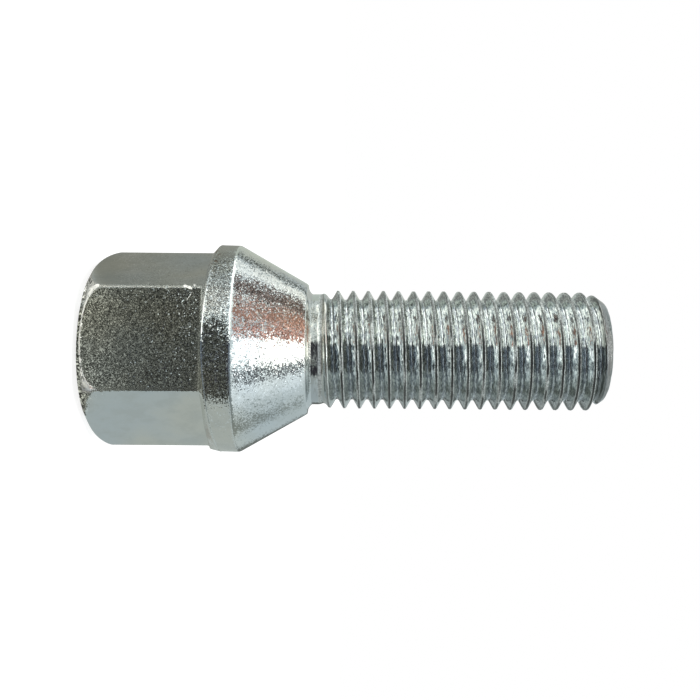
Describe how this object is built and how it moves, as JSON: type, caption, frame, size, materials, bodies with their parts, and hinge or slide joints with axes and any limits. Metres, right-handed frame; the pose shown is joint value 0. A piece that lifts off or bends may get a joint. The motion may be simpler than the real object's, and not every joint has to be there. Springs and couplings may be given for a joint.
{
  "type": "wheel bolt",
  "caption": "Wheel bolt that clamps a road wheel to its hub: hexagon head, collar with a conical seat, and a right-hand metric thread.",
  "frame": {"origin": "centre of the head's flat end face, on which the bolt stands", "axes": "+Z along the bolt's axis from the head to the tip of the thread; two flats of the hexagon face +Y and -Y"},
  "size_m": [0.0206, 0.0206, 0.0506],
  "materials": {
    "zinc_plated_steel": "bright zinc plating with a faint blue and yellow tint, satin, over forged steel"
  },
  "bodies": {
    "root": {"wheel_bolt": "zinc_plated_steel"}
  },
  "joints": []
}
